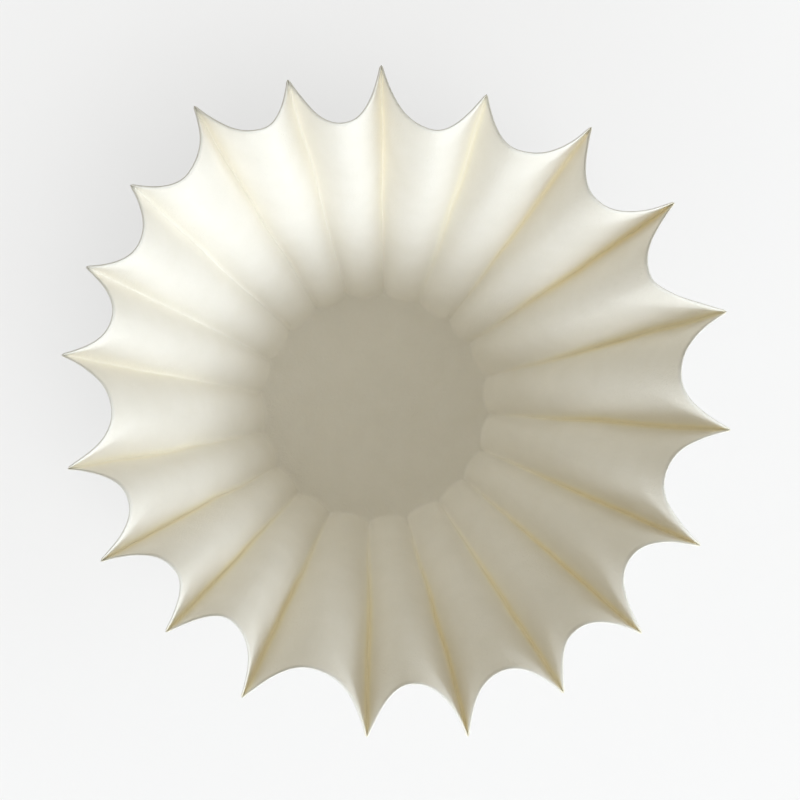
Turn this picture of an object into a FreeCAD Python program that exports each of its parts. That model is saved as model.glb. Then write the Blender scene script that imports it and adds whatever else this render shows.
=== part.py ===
import FreeCAD, Part
import math
import os

# Paper coffee filter with a flat base and a fluted wall, pressed from one flat disc of paper.
# Millimetres, +Z up, origin at the centre of the base's underside.

# The flat disc that the filter is pressed from, and the base in its middle
DISC_DIAMETER = 185.0
BASE_DIAMETER = 50.0
PAPER_THICKNESS = 0.25

# The flutes. Each is an inward ridge with a rounded bend and a flat leg on either side, and the
# legs of neighbours meet in a sharp outward crease.
FLUTE_COUNT = 20
CREASE_DIAMETER = 120.0
RIDGE_DIAMETER = 100.0
RIDGE_BEND = 6.0
FLUTE_DEPTH_AT_BASE = 1.0

# How a filter opened by hand departs from an even one, flute by flute and counter-clockwise:
# the turn of its crease at the base and at the rim in degrees, and how much further out the
# crease and the ridge after it stand at the rim in millimetres.
FIRST_CREASE_ANGLE = 14.0
FLUTES = (
    (1.0, 0.5, 4.0, 1.0),
    (2.0, 2.5, 3.5, 1.0),
    (-0.5, 3.0, 1.5, -1.0),
    (-1.0, 4.0, -3.0, -2.5),
    (0.0, 5.0, -0.5, -1.5),
    (0.0, 3.5, -0.5, 2.0),
    (-1.5, 1.5, 2.5, 2.5),
    (-2.0, 0.5, -1.0, 1.0),
    (-2.5, -1.5, -2.5, -0.5),
    (-3.0, -3.5, -2.5, -2.5),
    (-1.0, -1.5, -3.0, -2.0),
    (-1.0, -2.5, -2.5, -3.0),
    (-1.5, -3.5, -4.0, -3.0),
    (-1.0, -4.0, -2.0, -1.5),
    (1.0, 0.5, -0.5, -0.5),
    (2.0, -0.5, 1.5, 1.5),
    (2.0, -1.0, 1.0, 2.0),
    (1.0, -2.5, 2.0, 1.0),
    (0.0, -3.0, 2.5, 0.5),
    (0.5, -1.0, 2.5, 2.0),
)

BASE_RADIUS = BASE_DIAMETER / 2
WALL_LENGTH = (DISC_DIAMETER - BASE_DIAMETER) / 2

# The blank that the grooves between the flutes are cut from: it leans out more than any crease
BLANK_LEAN = 42.0
BLANK_MARGIN = 4.0
GROOVE_LEG = WALL_LENGTH / 2
GROOVE_DEPTH = WALL_LENGTH
GROOVE_START = 5.0
GROOVE_END = 1.4 * WALL_LENGTH


def on_circle(radius, degrees):
    angle = math.radians(degrees)
    return FreeCAD.Vector(radius * math.cos(angle), radius * math.sin(angle), 0)


def raised(base_point, rim_point):
    """The rim point at the height where the paper from the base point ends."""
    run = (rim_point - base_point).Length
    return rim_point + FreeCAD.Vector(0, 0, math.sqrt(WALL_LENGTH ** 2 - run ** 2))


def crease_angles(flute):
    """The crease's angle at the base and at the rim, in degrees."""
    base_turn, rim_turn = FLUTES[flute % len(FLUTES)][:2]
    even = FIRST_CREASE_ANGLE + 360.0 * flute / FLUTE_COUNT
    return even + base_turn, even + rim_turn


def crease_at_rim(flute):
    base_angle, rim_angle = crease_angles(flute)
    reach = FLUTES[flute % len(FLUTES)][2]
    return raised(on_circle(BASE_RADIUS, base_angle),
                  on_circle(CREASE_DIAMETER / 2 + reach, rim_angle))


def ridge_line(flute):
    """The ridge after a flute's crease, at the base and at the rim."""
    reach = FLUTES[flute % len(FLUTES)][3]
    base_angle, rim_angle = crease_angles(flute)
    next_base, next_rim = crease_angles(flute + 1)
    base_point = on_circle(BASE_RADIUS - FLUTE_DEPTH_AT_BASE, (base_angle + next_base) / 2)
    rim_point = on_circle(RIDGE_DIAMETER / 2 + reach, (rim_angle + next_rim) / 2)
    return base_point, raised(base_point, rim_point)


def groove(flute, inset):
    """The space outside one ridge, on the paper's outer face, or on its inner face with an inset.
    Its section is an arc round the ridge and a leg to either crease, tangent to the arc."""
    base_point, rim_point = ridge_line(flute)
    along = (rim_point - base_point).normalize()
    side = FreeCAD.Vector(0, 0, 1).cross(rim_point).normalize()
    out = side.cross(along).normalize()
    side = along.cross(out)
    centre = base_point + out * RIDGE_BEND
    radius = RIDGE_BEND + inset

    def in_section(x, y):
        return centre - along * GROOVE_START + out * x + side * y

    legs, turns = [], []
    for hand, crease in ((-1, crease_at_rim(flute)), (1, crease_at_rim(flute + 1))):
        x, y = (crease - centre).dot(out), (crease - centre).dot(side)
        turn = math.atan2(hand * y, x) + math.acos(RIDGE_BEND / math.hypot(x, y))
        touch_x, touch_y = radius * math.cos(turn), radius * math.sin(turn)
        end_x, end_y = touch_x + GROOVE_LEG * math.sin(turn), touch_y - GROOVE_LEG * math.cos(turn)
        legs.append((in_section(touch_x, hand * touch_y), in_section(end_x, hand * end_y)))
        turns.append(turn)
    (touch_before, end_before), (touch_after, end_after) = legs
    apex = math.pi + (turns[1] - turns[0]) / 2
    far_before, far_after = end_before + out * GROOVE_DEPTH, end_after + out * GROOVE_DEPTH
    section = Part.Wire([
        Part.LineSegment(end_before, touch_before).toShape(),
        Part.Arc(touch_before, in_section(radius * math.cos(apex), radius * math.sin(apex)),
                 touch_after).toShape(),
        Part.LineSegment(touch_after, end_after).toShape(),
        Part.makePolygon([end_after, far_after, far_before, end_before]),
    ])
    return Part.Face(section).extrude(along * (GROOVE_START + GROOVE_END))


def blank(inset, reach):
    """A turned blank: flat below, leaning out more than any crease, and on top the paper's edge
    swung up about the base's."""
    def on_swing(degrees):
        angle = math.radians(degrees)
        return FreeCAD.Vector(BASE_RADIUS + reach * math.cos(angle), 0, reach * math.sin(angle))

    widest = 90 - BLANK_LEAN
    corner = FreeCAD.Vector(BASE_RADIUS + BLANK_MARGIN, 0, inset)
    axis_bottom, axis_top = FreeCAD.Vector(0, 0, inset), FreeCAD.Vector(0, 0, reach)
    section = Part.Wire([
        Part.LineSegment(axis_bottom, corner).toShape(),
        Part.LineSegment(corner, on_swing(widest)).toShape(),
        Part.Arc(on_swing(widest), on_swing((widest + 90) / 2), on_swing(90)).toShape(),
        Part.LineSegment(on_swing(90), axis_top).toShape(),
        Part.LineSegment(axis_top, axis_bottom).toShape(),
    ])
    return Part.Face(section).revolve(FreeCAD.Vector(0, 0, 0), FreeCAD.Vector(0, 0, 1), 360)


def enclosed(inset, reach):
    """All that the paper's outer face encloses, or its inner face with an inset."""
    return blank(inset, reach).cut([groove(flute, inset) for flute in range(FLUTE_COUNT)])


def coffee_filter():
    return enclosed(0, WALL_LENGTH).cut(enclosed(PAPER_THICKNESS, 1.05 * WALL_LENGTH))


os.makedirs("parts", exist_ok=True)
solid = coffee_filter()
print(len(solid.Solids), "solid of", len(solid.Faces), "faces, valid", solid.isValid(), ", volume", round(solid.Volume, 1))
solid.Solids[0].exportStep("parts/coffee_filter.step")
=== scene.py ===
# %% [markdown]
# # A paper coffee filter, pressed from one flat disc
#
# The real object is one round sheet of creped paper. A heated tool pushes it into a fluted mould, so
# a flat base stays in the middle and the rest stands up as a wall of twenty flutes. Nothing is glued
# or sewn. This lesson does the same: it cuts a flat disc, presses it, gives it its thickness, and
# then makes the paper, the floor, the light and the camera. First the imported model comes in, because
# its box says where the filter stands and how large it may be.

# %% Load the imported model
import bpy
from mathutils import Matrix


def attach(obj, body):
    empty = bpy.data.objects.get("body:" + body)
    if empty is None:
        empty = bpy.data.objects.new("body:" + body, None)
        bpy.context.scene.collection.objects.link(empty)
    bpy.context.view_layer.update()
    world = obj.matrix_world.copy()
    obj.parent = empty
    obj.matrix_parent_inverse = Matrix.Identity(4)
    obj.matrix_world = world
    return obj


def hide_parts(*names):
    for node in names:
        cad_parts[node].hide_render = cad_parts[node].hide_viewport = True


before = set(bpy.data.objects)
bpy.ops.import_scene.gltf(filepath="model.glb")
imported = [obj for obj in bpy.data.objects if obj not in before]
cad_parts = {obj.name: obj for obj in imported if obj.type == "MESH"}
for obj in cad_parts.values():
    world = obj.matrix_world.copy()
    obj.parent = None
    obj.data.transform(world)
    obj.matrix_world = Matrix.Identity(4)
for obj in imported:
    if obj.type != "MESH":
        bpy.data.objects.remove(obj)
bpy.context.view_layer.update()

# %% Other tools
import math

import bmesh
import bpy
from mathutils import Matrix, Vector, noise

# %% [markdown]
# ## The sizes
#
# The sizes come from the solid model, in metres: a disc of 185 mm with a base of 50 mm, so the wall
# is 67.5 mm long on the slant. The radii of the creases and ridges differ from the solid's by up to
# 0.4 mm, because here the bends are rounded and the inside face is the one that is drawn. A filter
# opened by hand is never even, so each flute has its own row: the turn of its crease at the base and
# at the rim in degrees, and how far its crease and the ridge after it stand out at the rim in
# millimetres.

# %% Sizes of the disc and the flutes
MM = 0.001
DISC_RADIUS = 92.5 * MM
BASE_RADIUS = 25.0 * MM
WALL_LENGTH = DISC_RADIUS - BASE_RADIUS
PAPER_THICKNESS = 0.25 * MM

CREASE_RADIUS_AT_BASE = 25.4 * MM
RIDGE_RADIUS_AT_BASE = 24.2 * MM
CREASE_RADIUS_AT_RIM = 59.6 * MM
RIDGE_RADIUS_AT_RIM = 49.7 * MM

FLUTE_COUNT = 20
FIRST_CREASE_ANGLE = 14.0
FLUTES = (
    (1.0, 0.5, 4.0, 1.0),
    (2.0, 2.5, 3.5, 1.0),
    (-0.5, 3.0, 1.5, -1.0),
    (-1.0, 4.0, -3.0, -2.5),
    (0.0, 5.0, -0.5, -1.5),
    (0.0, 3.5, -0.5, 2.0),
    (-1.5, 1.5, 2.5, 2.5),
    (-2.0, 0.5, -1.0, 1.0),
    (-2.5, -1.5, -2.5, -0.5),
    (-3.0, -3.5, -2.5, -2.5),
    (-1.0, -1.5, -3.0, -2.0),
    (-1.0, -2.5, -2.5, -3.0),
    (-1.5, -3.5, -4.0, -3.0),
    (-1.0, -4.0, -2.0, -1.5),
    (1.0, 0.5, -0.5, -0.5),
    (2.0, -0.5, 1.5, 1.5),
    (2.0, -1.0, 1.0, 2.0),
    (1.0, -2.5, 2.0, 1.0),
    (0.0, -3.0, 2.5, 0.5),
    (0.5, -1.0, 2.5, 2.0),
)
print(FLUTE_COUNT, "flutes, wall", round(WALL_LENGTH / MM, 1), "mm on the slant")

# %% [markdown]
# ## The flat disc
#
# The sheet could be modelled as it stands, but paper doesn't stretch, so it is easier to get right
# from the flat blank. A small fan of triangles is the middle. Its rim is extruded and widened ring
# by ring, which gives every flute the same number of columns. The rings are closer together where
# the base turns up into the wall.

# %% Cut the disc
COLUMNS_PER_FLUTE = 28
COLUMNS = FLUTE_COUNT * COLUMNS_PER_FLUTE
BASE_RINGS = (2, 6, 10, 14, 18, 21, 22.5, 23.5, 24.2, 24.5, 24.75, 25)
CORNER_RINGS = (25.25, 25.5, 25.8, 26.2, 26.8)
WALL_RINGS, FIRST_WALL_RING = 55, 28.0 * MM
RING_STEP = (DISC_RADIUS - FIRST_WALL_RING) / (WALL_RINGS - 1)
RING_RADII = [radius * MM for radius in BASE_RINGS + CORNER_RINGS]
RING_RADII += [FIRST_WALL_RING + RING_STEP * ring for ring in range(WALL_RINGS)]


def flat_disc():
    disc = bmesh.new()
    bmesh.ops.create_circle(disc, cap_ends=True, cap_tris=True, segments=COLUMNS, radius=RING_RADII[0])
    edge = [e for e in disc.edges if e.is_boundary]
    for inner, outer in zip(RING_RADII, RING_RADII[1:]):
        grown = bmesh.ops.extrude_edge_only(disc, edges=edge)["geom"]
        ring = [v for v in grown if isinstance(v, bmesh.types.BMVert)]
        edge = [e for e in grown if isinstance(e, bmesh.types.BMEdge)]
        bmesh.ops.scale(disc, verts=ring, vec=Vector((outer / inner, outer / inner, 1)))
    bmesh.ops.recalc_face_normals(disc, faces=disc.faces)
    if sum(f.normal.z for f in disc.faces) < 0:
        bmesh.ops.reverse_faces(disc, faces=disc.faces)
    return disc


disc = flat_disc()
print("the flat disc has", len(disc.verts), "points and", len(disc.faces), "faces")

# %% [markdown]
# ## The fold lines
#
# A flute runs from one sharp outward crease over a broad inward ridge to the next crease. Each fold
# is a straight line from the base to the rim, because paper bends along straight lines only. The
# paper from a point on the base's outline is 67.5 mm long, so its end stands lower the further out
# it leans. That is why the rim isn't level.

# %% Find the fold lines
def on_circle(radius, degrees):
    angle = math.radians(degrees)
    return Vector((radius * math.cos(angle), radius * math.sin(angle)))


def crease_ends(flute):
    """A crease's points at the base and at the rim, and its angles there."""
    base_turn, rim_turn, reach, _ = FLUTES[flute % FLUTE_COUNT]
    even = FIRST_CREASE_ANGLE + 360.0 * flute / FLUTE_COUNT
    return (on_circle(CREASE_RADIUS_AT_BASE, even + base_turn),
            on_circle(CREASE_RADIUS_AT_RIM + reach * MM, even + rim_turn),
            even + base_turn, even + rim_turn)


def ridge_ends(flute):
    """The points at the base and at the rim of the ridge after a crease."""
    _, _, base_angle, rim_angle = crease_ends(flute)
    _, _, next_base, next_rim = crease_ends(flute + 1)
    reach = FLUTES[flute % FLUTE_COUNT][3]
    return (on_circle(RIDGE_RADIUS_AT_BASE, (base_angle + next_base) / 2),
            on_circle(RIDGE_RADIUS_AT_RIM + reach * MM, (rim_angle + next_rim) / 2))


print("the first crease runs", [tuple(round(c / MM, 1) for c in end) for end in crease_ends(0)[:2]])

# %% [markdown]
# ## The lines of the wall
#
# Between a crease and a ridge the paper is a soft arch: steep at the crease, level on the ridge. A
# curve with one control point and a weight has that form, and the control point on the ridge's own
# tangent keeps neighbouring halves smooth there. One flank of this filter leans over more than the
# rest and makes a broad fold. The same arch, smaller, is the scalloped outline of the base. Straight
# lines between the two are the wall, and a short parabola turns the base up into it.

# %% Find the lines of the wall
FLANK_LEAN = 0.46
BROAD_FLUTE, BROAD_LEAN = 0, 0.72
ARCH_WEIGHT = 1.15
CREASE_CROWDING = 1.6
CORNER_REACH = 0.5 * MM
SCALLOP_FADE = 4


def arch(near, far, ridge, share, lean):
    """The point on the arch from the near crease (share 0) over the ridge to the far one (share 1).
    With lean 0 a flank rises square from its crease, and with lean 1 it runs straight to the ridge."""
    across = (far - near).normalized()
    crease = near if share <= 0.5 else far
    t = (2 * min(share, 1 - share)) ** CREASE_CROWDING
    control = ridge - across * (ridge - crease).dot(across) * (1 - lean)
    weights = ((1 - t) ** 2, 2 * t * (1 - t) * ARCH_WEIGHT, t ** 2)
    return (crease * weights[0] + control * weights[1] + ridge * weights[2]) / sum(weights)


def wall_line(flute, share):
    """Where a straight line of the wall starts on the base's outline, and its direction."""
    near_base, near_rim = crease_ends(flute)[:2]
    far_base, far_rim = crease_ends(flute + 1)[:2]
    ridge_base, ridge_rim = ridge_ends(flute)
    lean = BROAD_LEAN if flute == BROAD_FLUTE and share < 0.5 else FLANK_LEAN
    foot = arch(near_base, far_base, ridge_base, share, lean)
    run = arch(near_rim, far_rim, ridge_rim, share, lean) - foot
    climb = math.sqrt(WALL_LENGTH ** 2 - run.length_squared)
    return foot.to_3d(), Vector((run.x, run.y, climb)) / WALL_LENGTH


def pressed(radius, foot, direction):
    """Where a point of the flat disc goes, from its radius and the wall line that it lies on."""
    inward = -foot.normalized()
    past = radius - BASE_RADIUS
    if past <= -CORNER_REACH:
        spread = (foot.length - BASE_RADIUS) * (radius / (BASE_RADIUS - CORNER_REACH)) ** SCALLOP_FADE
        return -inward * (radius + spread)
    if past >= CORNER_REACH:
        return foot + direction * past
    return (foot + inward * (CORNER_REACH - past) ** 2 / (4 * CORNER_REACH)
            + direction * (CORNER_REACH + past) ** 2 / (4 * CORNER_REACH))


wall_lines = [wall_line(column // COLUMNS_PER_FLUTE, column % COLUMNS_PER_FLUTE / COLUMNS_PER_FLUTE)
              for column in range(COLUMNS)]
print("the first ridge ends", round(wall_line(0, 0.5)[1].z * WALL_LENGTH / MM, 1), "mm up")

# %% [markdown]
# ## Painted light beside the creases
#
# In the photograph the creases are amber, most of all on the shaded side. That is probably because
# real paper is slightly see-through, and light in a narrow fold has gone through and off it many
# times, which takes the blue out. The paper made here lets no light through, so its creases come
# out too dark and not amber enough. Two marks paint that light into the colour: painted light that
# brightens the paper near a crease, and a painted amber glow in its bend. They follow the light of
# the photograph, so the angle where the creases are most amber is chosen, and under other light
# both marks could be made even or left out. Two creases get no painted brightening and stay darker.
#
# A material can't see where the creases are, so the points of the flat disc carry the marks and keep
# them when they move. The marks widen from the base towards the rim. The angle of a point says which
# column it lies in, and so which crease is nearest.

# %% Mark the creases with painted light
# Reach and strength of the painted light and the painted amber glow beside the creases.
CREASE_REACH, REACH_WIDEST_AT = 6.5 * MM, 0.7
WIDE_CREASE, WIDE_REACH = 1, 1.6
CREASES_WITHOUT_PAINTED_BRIGHTENING = (1, 2)
MARKED_FULLY_AT = 0.5
PAINTED_LIGHT_AT_LEAST = 0.5
PAINTED_AMBER_NARROWING = 5
MOST_PAINTED_AMBER_ANGLE, PAINTED_AMBER_SPREAD = -60.0, 0.9


def column_of(point):
    """The column that a point of the flat disc lies in."""
    return round(math.atan2(point.co.y, point.co.x) / math.tau * COLUMNS) % COLUMNS


def nearest_crease(column):
    """The number of the crease that is nearest to a column."""
    return (column + COLUMNS_PER_FLUTE // 2 - 1) // COLUMNS_PER_FLUTE


def painted_amber_share(column):
    """How strong the painted amber glow in the creases is at a column, from 0 to 1."""
    turned = math.tau * column / COLUMNS - math.radians(MOST_PAINTED_AMBER_ANGLE)
    return min(max(PAINTED_AMBER_SPREAD + math.cos(turned), 0), 1)


# The crease attribute holds painted light beside the creases, the amber one a painted amber glow.
def paint_light_into_creases(disc):
    disc.verts.layers.float.new("crease")
    disc.verts.layers.float.new("painted_amber")
    painted_light_mark, painted_amber_mark = disc.verts.layers.float["crease"], disc.verts.layers.float["painted_amber"]
    for point in disc.verts:
        radius, column = point.co.to_2d().length, column_of(point)
        climbed = max(radius - BASE_RADIUS, 0) / WALL_LENGTH
        if climbed > 0:
            crease = nearest_crease(column)
            fold = pressed(radius, *wall_lines[crease * COLUMNS_PER_FLUTE % COLUMNS])
            reach = CREASE_REACH * climbed * (2 * REACH_WIDEST_AT - climbed)
            reach *= WIDE_REACH if crease == WIDE_CREASE else 1
            share = (pressed(radius, *wall_lines[column]) - fold).length / reach
            grown = min(1, climbed / MARKED_FULLY_AT)
            # Painted light that brightens the paper beside a crease, strongest on the shaded side; two
            # creases get none.
            painted_light = PAINTED_LIGHT_AT_LEAST + (1 - PAINTED_LIGHT_AT_LEAST) * painted_amber_share(column)
            painted_light = 0 if crease in CREASES_WITHOUT_PAINTED_BRIGHTENING else painted_light
            point[painted_light_mark] = painted_light * grown * math.exp(-share ** 2)
            # Painted amber glow in the bend of a crease, strongest on the shaded side.
            point[painted_amber_mark] = painted_amber_share(column) * grown * math.exp(-PAINTED_AMBER_NARROWING * share ** 2)


paint_light_into_creases(disc)
print("the points have the marks", disc.verts.layers.float.keys())

# %% [markdown]
# ## Pressing the disc
#
# Pressing only moves points: each goes as far along its own line of the wall as it lay from the
# base on the flat disc. Thick soft paper can't fold to a knife edge, so the points beside each
# crease are then smoothed into a narrow bend. One crease of this filter is wider than the rest, so
# more columns are smoothed there, and more often.

# %% Press the disc
BENT_COLUMNS, BENT_PASSES = 5, 20
WIDE_COLUMNS, WIDE_PASSES = 6, 24


def press(disc):
    """Presses the disc, and gives back the points beside the creases and beside the wide one."""
    beside, beside_wide = [], []
    for point in disc.verts:
        radius, column = point.co.to_2d().length, column_of(point)
        point.co = pressed(radius, *wall_lines[column])
        crease = nearest_crease(column)
        wide = crease == WIDE_CREASE
        bent = abs(column - crease * COLUMNS_PER_FLUTE) <= (WIDE_COLUMNS if wide else BENT_COLUMNS)
        if bent and CORNER_REACH < radius - BASE_RADIUS < WALL_LENGTH - MM:
            (beside_wide if wide else beside).append(point)
    return beside, beside_wide


for beside, passes in zip(press(disc), (BENT_PASSES, WIDE_PASSES)):
    for _ in range(passes):
        bmesh.ops.smooth_vert(disc, verts=beside, factor=0.5, use_axis_x=True, use_axis_y=True)
bmesh.ops.translate(disc, verts=disc.verts, vec=Vector((0, 0, PAPER_THICKNESS)))
print("pressed to", round(max(v.co.z for v in disc.verts) / MM, 1), "mm high")

# %% [markdown]
# ## The hand's traces
#
# Pressed paper is stiff but never perfect: the walls swell and sink by a few tenths of a millimetre
# and the cut edge waves a little. Smooth noise moves the points of the wall, more towards the rim
# and not at all on the base, which the table keeps flat. The noise gets a seed, because it would
# otherwise take one from the clock and no two runs would be the same.

# %% Ease the wall out of true
SWELL_SIZE, SWELL = 16.0 * MM, 0.35 * MM
RIPPLE_SIZE, RIPPLE = 5.0 * MM, 0.08 * MM
RIPPLE_START = Vector((7, 3, 5))
LOOSE_HEIGHT = 20 * MM
SWELL_SEED = 3


def ease(disc):
    for point in disc.verts:
        looseness = min(max(point.co.z / LOOSE_HEIGHT, 0), 1)
        swell = noise.noise_vector(point.co / SWELL_SIZE) * SWELL
        ripple = noise.noise_vector(point.co / RIPPLE_SIZE + RIPPLE_START) * RIPPLE
        point.co += (swell + ripple) * looseness


noise.seed_set(SWELL_SEED)
ease(disc)
print("eased by up to", round((SWELL + RIPPLE) / MM, 2), "mm")

# %% [markdown]
# ## From a surface to paper
#
# So far the sheet has no thickness. Solidify adds it on the outside, away from the points, and
# closes the cut edge at the rim. The inside is the face that shows, and a sharp crease stays clean
# there, while on the outside the paper goes round its tip.

# %% Make the filter
def object_from(form, name):
    mesh = bpy.data.meshes.new(name)
    form.to_mesh(mesh)
    form.free()
    made = bpy.data.objects.new(name, mesh)
    bpy.context.scene.collection.objects.link(made)
    return made


paper_filter = object_from(disc, "pressed_filter")
paper_filter.data.shade_smooth()
thickness = paper_filter.modifiers.new("paper_thickness", "SOLIDIFY")
thickness.thickness = PAPER_THICKNESS
thickness.offset = -1
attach(paper_filter, "root")
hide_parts("coffee_filter")
print("the filter is one sheet of", len(paper_filter.data.polygons), "faces a side")

# %% [markdown]
# ## The surface of filter paper
#
# Filter paper is slightly creped. Held to the light it is cloudy, because the fibres settle
# unevenly, and its surface has short fibres and a faint crepe. One group makes the clouds and the
# relief from two noises. They read Object coordinates, so nothing slides when the filter moves.

# %% Build the paper's surface group
def socket(group, name, kind, in_out, value=None):
    made = group.interface.new_socket(name=name, in_out=in_out, socket_type=kind)
    if value is not None:
        made.default_value = value


def paper_surface():
    group = bpy.data.node_groups.new("paper_surface", "ShaderNodeTree")
    socket(group, "Cloud Size", "NodeSocketFloat", "INPUT", 160.0)
    socket(group, "Fibre Size", "NodeSocketFloat", "INPUT", 1400.0)
    socket(group, "Clouds", "NodeSocketFloat", "OUTPUT")
    socket(group, "Relief", "NodeSocketFloat", "OUTPUT")
    nodes, links = group.nodes, group.links
    given, result = nodes.new("NodeGroupInput"), nodes.new("NodeGroupOutput")
    place = nodes.new("ShaderNodeTexCoord")

    clouds = nodes.new("ShaderNodeTexNoise")
    clouds.inputs["Detail"].default_value = 4
    links.new(place.outputs["Object"], clouds.inputs["Vector"])
    links.new(given.outputs["Cloud Size"], clouds.inputs["Scale"])

    fibres = nodes.new("ShaderNodeTexNoise")
    fibres.inputs["Detail"].default_value = 3
    fibres.inputs["Distortion"].default_value = 1.5
    links.new(place.outputs["Object"], fibres.inputs["Vector"])
    links.new(given.outputs["Fibre Size"], fibres.inputs["Scale"])

    relief = nodes.new("ShaderNodeMath")
    relief.operation = "ADD"
    links.new(clouds.outputs["Fac"], relief.inputs[0])
    links.new(fibres.outputs["Fac"], relief.inputs[1])
    links.new(clouds.outputs["Fac"], result.inputs["Clouds"])
    links.new(relief.outputs["Value"], result.inputs["Relief"])
    return group


paper_group = paper_surface()
print("the group gives", [item.name for item in paper_group.interface.items_tree])

# %% [markdown]
# ## The colour of filter paper
#
# Filter paper is uncoated, so it is matte all over, with hardly any gloss. A mix between two creams
# follows the clouds. The two marks on the points then mix in painted light beside the creases and
# a painted amber glow in their bends, and the relief goes through a Bump node, because real fibres
# are too many to model.

# %% Make the filter paper
PAPER_COLOUR = (0.955, 0.925, 0.865, 1)
CLOUD_COLOUR = (0.895, 0.865, 0.79, 1)
# Painted light beside the creases and a painted amber glow in their bends.
PAINTED_LIGHT_COLOUR = (0.99, 0.97, 0.90, 1)
PAINTED_AMBER_COLOUR = (0.99, 0.93, 0.75, 1)


def mix_colour(tree, factor, first, second):
    mix = tree.nodes.new("ShaderNodeMix")
    mix.data_type = "RGBA"
    tree.links.new(factor, mix.inputs["Factor"])
    for value, name in ((first, "A"), (second, "B")):
        target = next(s for s in mix.inputs if s.name == name and s.type == "RGBA")
        if isinstance(value, tuple):
            target.default_value = value
        else:
            tree.links.new(value, target)
    return next(s for s in mix.outputs if s.type == "RGBA")


def filter_paper():
    material = bpy.data.materials.new("filter_paper")
    material.use_nodes = True
    tree = material.node_tree
    shader = tree.nodes["Principled BSDF"]
    shader.inputs["Roughness"].default_value = 0.9
    shader.inputs["Specular IOR Level"].default_value = 0.2

    surface = tree.nodes.new("ShaderNodeGroup")
    surface.node_tree = paper_group
    # The crease attribute brings painted light beside the creases, the amber one a painted amber glow.
    crease = tree.nodes.new("ShaderNodeAttribute")
    crease.attribute_name = "crease"
    cream = mix_colour(tree, surface.outputs["Clouds"], PAPER_COLOUR, CLOUD_COLOUR)
    painted_light = mix_colour(tree, crease.outputs["Fac"], cream, PAINTED_LIGHT_COLOUR)
    painted_amber = tree.nodes.new("ShaderNodeAttribute")
    painted_amber.attribute_name = "painted_amber"
    with_painted_amber = mix_colour(tree, painted_amber.outputs["Fac"], painted_light, PAINTED_AMBER_COLOUR)
    tree.links.new(with_painted_amber, shader.inputs["Base Color"])

    bump = tree.nodes.new("ShaderNodeBump")
    bump.inputs["Strength"].default_value = 0.6
    bump.inputs["Distance"].default_value = 0.2 * MM
    tree.links.new(surface.outputs["Relief"], bump.inputs["Height"])
    tree.links.new(bump.outputs["Normal"], shader.inputs["Normal"])
    return material


paper_filter.data.materials.append(filter_paper())
print("the paper's colour is", PAPER_COLOUR[:3])

# %% [markdown]
# ## The floor
#
# The filter stands on a white sweep. Lit for the paper, such a floor would come out grey, so for the
# camera part of its light is its own. The rest still comes from the lamps, and keeps a soft shadow.
# Its own light is least under the filter and grows with distance. Close by that is a painted shade
# around the filter, and further off, where the lamps hardly reach, it lets the floor run into the
# backdrop without a line. To the paper the floor is a middle grey, so that it doesn't throw too much
# light up at the outside of the wall.

# %% Lay the floor
FLOOR_HALF = 6.0
BACKGROUND = 0.913
FLOOR_DROP = 0.1 * MM
# The floor's own light is lowest at the filter, a painted shade around it, and highest far off.
FLOOR_OWN_LIGHT, OWN_LIGHT_FAR_OFF, FAR_OFF = 0.54, 0.86, 1.5
OWN_LIGHT_GROWTH = 0.4
FLOOR_SEEN = (0.22, 0.22, 0.22, 1)
FLOOR_COLOUR = (0.5, 0.5, 0.5, 1)


def picture_rays(tree):
    """One for the rays that the camera sends, also by way of a mirror or glass, and else nought."""
    rays = tree.nodes.new("ShaderNodeLightPath")
    found = rays.outputs["Is Camera Ray"]
    for kind in ("Is Glossy Ray", "Is Transmission Ray"):
        either = tree.nodes.new("ShaderNodeMath")
        either.operation = "MAXIMUM"
        tree.links.new(found, either.inputs[0])
        tree.links.new(rays.outputs[kind], either.inputs[1])
        found = either.outputs[0]
    return found


def floor_white():
    material = bpy.data.materials.new("floor_white")
    material.use_nodes = True
    tree = material.node_tree
    tree.nodes.clear()
    out = tree.nodes.new("ShaderNodeOutputMaterial")
    plain = tree.nodes.new("ShaderNodeBsdfDiffuse")
    plain.inputs["Color"].default_value = FLOOR_COLOUR
    seen = tree.nodes.new("ShaderNodeBsdfDiffuse")
    seen.inputs["Color"].default_value = FLOOR_SEEN
    own = tree.nodes.new("ShaderNodeEmission")
    # Own light grows with the distance from the filter, which paints a soft shade close around it.
    place = tree.nodes.new("ShaderNodeTexCoord")
    away = tree.nodes.new("ShaderNodeVectorMath")
    away.operation = "LENGTH"
    share = tree.nodes.new("ShaderNodeMath")
    share.operation = "POWER"
    share.inputs[1].default_value = OWN_LIGHT_GROWTH
    strength = tree.nodes.new("ShaderNodeMapRange")
    strength.inputs["From Max"].default_value = FAR_OFF ** OWN_LIGHT_GROWTH
    strength.inputs["To Min"].default_value = FLOOR_OWN_LIGHT
    strength.inputs["To Max"].default_value = OWN_LIGHT_FAR_OFF
    tree.links.new(place.outputs["Object"], away.inputs[0])
    tree.links.new(away.outputs["Value"], share.inputs[0])
    tree.links.new(share.outputs[0], strength.inputs["Value"])
    tree.links.new(strength.outputs["Result"], own.inputs["Strength"])
    both = tree.nodes.new("ShaderNodeAddShader")
    tree.links.new(seen.outputs[0], both.inputs[0])
    tree.links.new(own.outputs[0], both.inputs[1])
    choose = tree.nodes.new("ShaderNodeMixShader")
    tree.links.new(picture_rays(tree), choose.inputs["Fac"])
    tree.links.new(plain.outputs[0], choose.inputs[1])
    tree.links.new(both.outputs[0], choose.inputs[2])
    tree.links.new(choose.outputs[0], out.inputs["Surface"])
    return material


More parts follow.
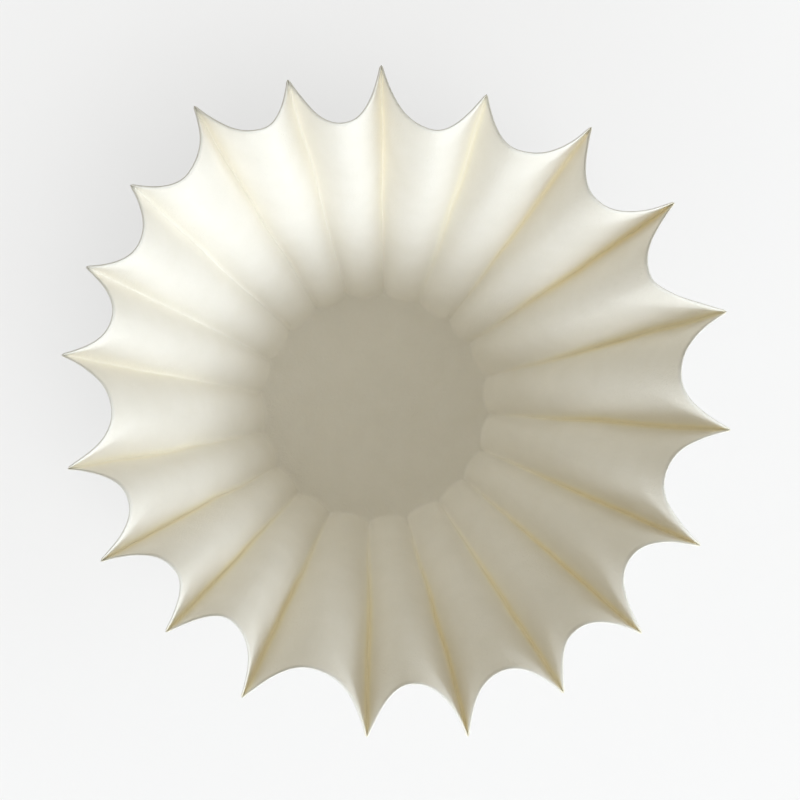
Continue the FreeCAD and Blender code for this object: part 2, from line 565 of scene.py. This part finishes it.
sweep = bmesh.new()
bmesh.ops.create_grid(sweep, x_segments=1, y_segments=1, size=FLOOR_HALF)
bmesh.ops.translate(sweep, verts=sweep.verts, vec=Vector((0, 0, -FLOOR_DROP)))
floor = object_from(sweep, "floor")
floor.data.materials.append(floor_white())
print("the floor is", 2 * FLOOR_HALF, "m wide")

# %% [markdown]
# ## The lamps
#
# Two broad low lamps side by side stand at the lower right of the picture. Their light passes over
# the near rim and reaches only the upper part of the far walls, so those are bright, while the near
# walls and the base lie in shade. They are a little cool. A third lamp stands high and lights the
# floor alone, for a soft shadow close beside the filter.

# %% Stand up the lamps
LAMP_AZIMUTHS, LAMP_ELEVATION, LAMP_DISTANCE = (-93.0, -20.0), 32.5, 2.2
LAMP_WIDTH, LAMP_HEIGHT = 2.4, 0.8
LAMP_WATTS = 28.0
LAMP_COLOUR = (0.83, 0.905, 1.0)
LAMP_TARGET = Vector((0, 0, 40)) * MM
FLOOR_LAMP_AZIMUTH, FLOOR_LAMP_ELEVATION = -55.0, 67.0
FLOOR_LAMP_SIZE, FLOOR_LAMP_WATTS = 1.1, 26.0


def aim(thing, place, target, up):
    """Stands a lamp or a camera at a place and turns it to the target, with up kept upright."""
    back = (place - target).normalized()
    right = up.cross(back).normalized()
    turn = Matrix((right, back.cross(right), back)).transposed().to_4x4()
    thing.matrix_world = Matrix.Translation(place) @ turn


def stand_up(lamp, azimuth, elevation, target):
    """Puts a lamp into the scene at an azimuth and an elevation in degrees, turned to the target."""
    holder = bpy.data.objects.new(lamp.name, lamp)
    bpy.context.scene.collection.objects.link(holder)
    away = on_circle(math.cos(math.radians(elevation)), azimuth).to_3d()
    away.z = math.sin(math.radians(elevation))
    aim(holder, away * LAMP_DISTANCE, target, Vector((0, 0, 1)))
    return holder


def soft_lamp(name, azimuth):
    lamp = bpy.data.lights.new(name, "AREA")
    lamp.shape = "RECTANGLE"
    lamp.size, lamp.size_y = LAMP_WIDTH, LAMP_HEIGHT
    lamp.energy = LAMP_WATTS
    lamp.color = LAMP_COLOUR
    stand_up(lamp, azimuth, LAMP_ELEVATION, LAMP_TARGET)


def floor_lamp():
    lamp = bpy.data.lights.new("floor_lamp", "AREA")
    lamp.size = FLOOR_LAMP_SIZE
    lamp.energy = FLOOR_LAMP_WATTS
    holder = stand_up(lamp, FLOOR_LAMP_AZIMUTH, FLOOR_LAMP_ELEVATION, Vector((0, 0, 0)))
    lit = bpy.data.collections.new("lit_by_floor_lamp")
    lit.objects.link(floor)
    holder.light_linking.receiver_collection = lit


soft_lamp("lamp_below", LAMP_AZIMUTHS[0])
soft_lamp("lamp_right", LAMP_AZIMUTHS[1])
floor_lamp()
print("two lamps of", LAMP_WATTS, "W and one of", FLOOR_LAMP_WATTS, "W for the floor")

# %% [markdown]
# ## The sky
#
# A warm sky, brighter low down than overhead, fills the shade, and the camera sees a plain white
# backdrop in its place. Light bounces many times between pale walls, and each bounce takes a little
# of the blue away, so the limit on bounces is raised to keep the shade as warm as it really is.

# %% Make the sky and the backdrop
SKY_COLOUR = (1.0, 0.955, 0.80, 1)
SKY_AT_HORIZON, SKY_OVERHEAD = 0.64, 0.20
MOST_BOUNCES, MOST_PAPER_BOUNCES = 24, 16


def sky():
    world = bpy.data.worlds.new("sky")
    world.use_nodes = True
    bpy.context.scene.world = world
    tree = world.node_tree
    fill = tree.nodes["Background"]
    fill.inputs["Color"].default_value = SKY_COLOUR
    direction = tree.nodes.new("ShaderNodeTexCoord")
    height = tree.nodes.new("ShaderNodeSeparateXYZ")
    strength = tree.nodes.new("ShaderNodeMapRange")
    strength.inputs["To Min"].default_value = SKY_AT_HORIZON
    strength.inputs["To Max"].default_value = SKY_OVERHEAD
    tree.links.new(direction.outputs["Generated"], height.inputs["Vector"])
    tree.links.new(height.outputs["Z"], strength.inputs["Value"])
    tree.links.new(strength.outputs["Result"], fill.inputs["Strength"])
    backdrop = tree.nodes.new("ShaderNodeBackground")
    backdrop.inputs["Color"].default_value = (BACKGROUND, BACKGROUND, BACKGROUND, 1)
    choose = tree.nodes.new("ShaderNodeMixShader")
    tree.links.new(picture_rays(tree), choose.inputs["Fac"])
    tree.links.new(fill.outputs[0], choose.inputs[1])
    tree.links.new(backdrop.outputs[0], choose.inputs[2])
    tree.links.new(choose.outputs[0], tree.nodes["World Output"].inputs["Surface"])


sky()
bpy.context.scene.view_settings.view_transform = "Standard"
bpy.context.scene.cycles.max_bounces = MOST_BOUNCES
bpy.context.scene.cycles.diffuse_bounces = MOST_PAPER_BOUNCES
print("the sky goes from", SKY_AT_HORIZON, "at the horizon to", SKY_OVERHEAD, "overhead")

# %% [markdown]
# ## The camera
#
# The photograph looks almost straight down from close above, so the base looks small and a little to
# the left. The place and the lens were worked out from where the base and the creases' ends lie in
# the picture.

# %% Set the camera
CAMERA_PLACE = Vector((-11.47, -7.02, 294.3)) * MM
CAMERA_TARGET = Vector((2.04, -0.24, 60.0)) * MM
CAMERA_LENS, CAMERA_NEAREST = 60.2, 10 * MM

lens = bpy.data.cameras.new("camera")
lens.lens = CAMERA_LENS
lens.sensor_width = 36
lens.clip_start = CAMERA_NEAREST
camera = bpy.data.objects.new("camera", lens)
bpy.context.scene.collection.objects.link(camera)
aim(camera, CAMERA_PLACE, CAMERA_TARGET, Vector((0, 1, 0)))
bpy.context.scene.camera = camera
print("the camera is", round(CAMERA_PLACE.z / MM), "mm up with a lens of", lens.lens, "mm")
